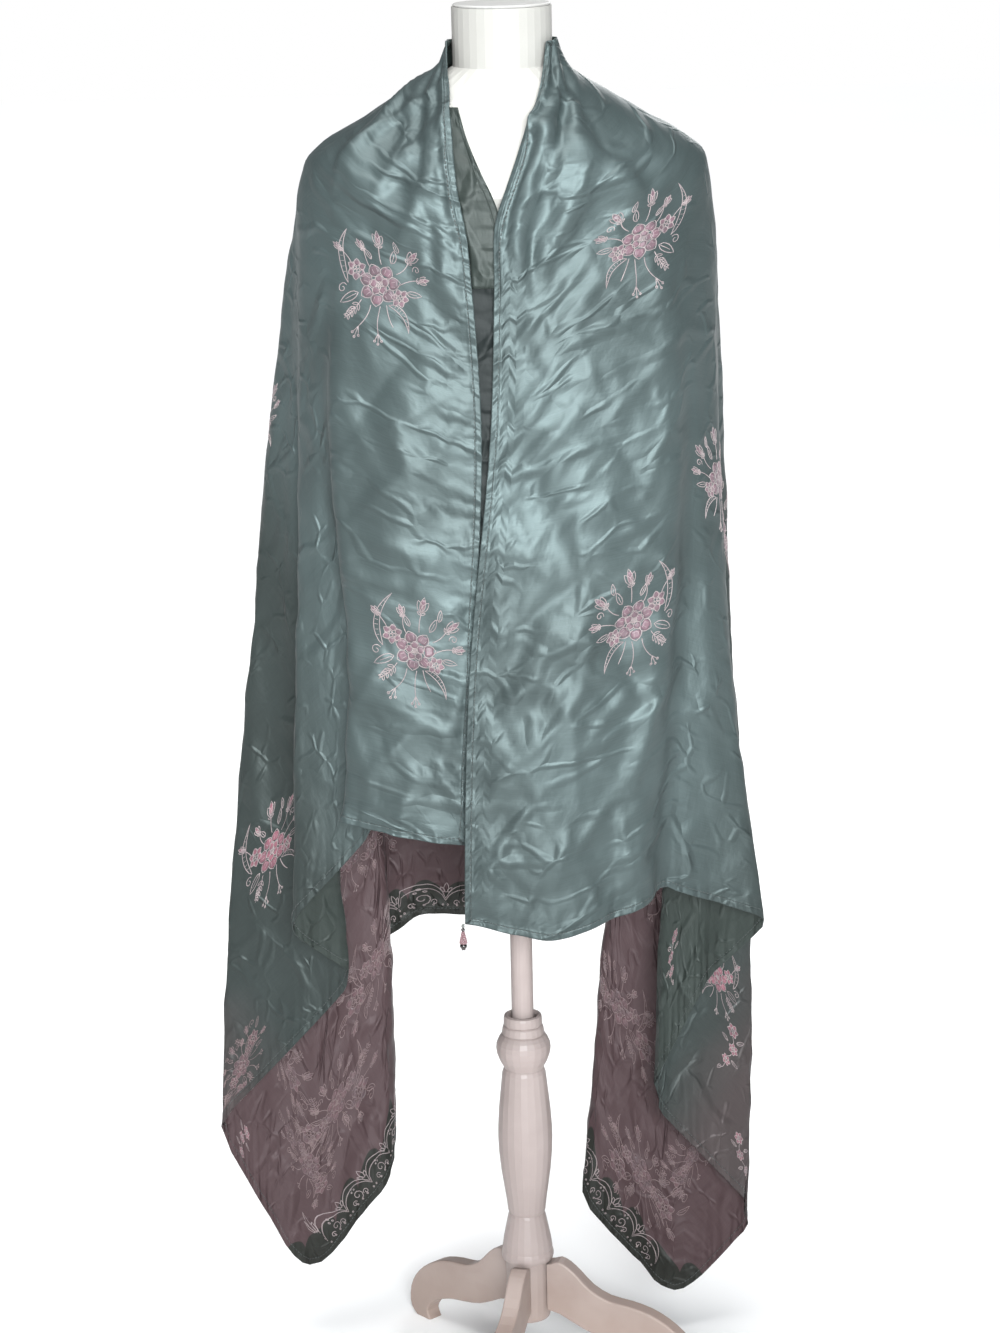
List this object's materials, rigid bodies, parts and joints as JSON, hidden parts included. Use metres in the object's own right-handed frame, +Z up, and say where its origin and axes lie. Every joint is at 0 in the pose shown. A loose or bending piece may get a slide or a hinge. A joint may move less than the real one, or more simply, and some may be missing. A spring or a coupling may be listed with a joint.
{
  "type": "silk scarf worn as a shawl on a limbless dress form with a turned wooden stand",
  "caption": "Long silk scarf draped as a shawl over a limbless dress form on a turned wooden tripod stand, both ends hanging in deep folds.",
  "frame": {"origin": "middle of the underside of the whole part's box, on the surface that the feet stand on", "axes": "+Z up from the feet to the neck, -Y the way the open front faces, +X to the right as seen from the front"},
  "size_m": [0.565, 0.3334, 1.4373],
  "materials": {
    "silk_sage": "satin silk, sage grey, soft sheen",
    "silk_mauve": "satin silk, muted mauve border side",
    "form_white": "smooth white form, low gloss",
    "cap_grey": "plain grey cap",
    "painted_wood": "turned wood under pale satin paint",
    "beads": "small glossy beads"
  },
  "bodies": {
    "root": {"back": "silk_mauve", "bead_drop": "beads", "collar_left": "silk_sage", "collar_right": "silk_sage", "collar_turn_in": "silk_sage", "form_neck_cap": "cap_grey", "form_torso": "form_white", "front_left": "silk_sage", "front_right": "silk_sage", "front_turn_under": "silk_sage", "hub": "painted_wood", "leg_back": "painted_wood", "leg_front": "painted_wood", "leg_right": "painted_wood", "pole": "painted_wood", "post": "painted_wood", "side_fold_left": "silk_sage", "side_fold_right": "silk_sage", "side_left": "silk_sage", "side_right": "silk_sage", "tail_left": "silk_mauve", "tail_right": "silk_mauve"}
  },
  "joints": []
}
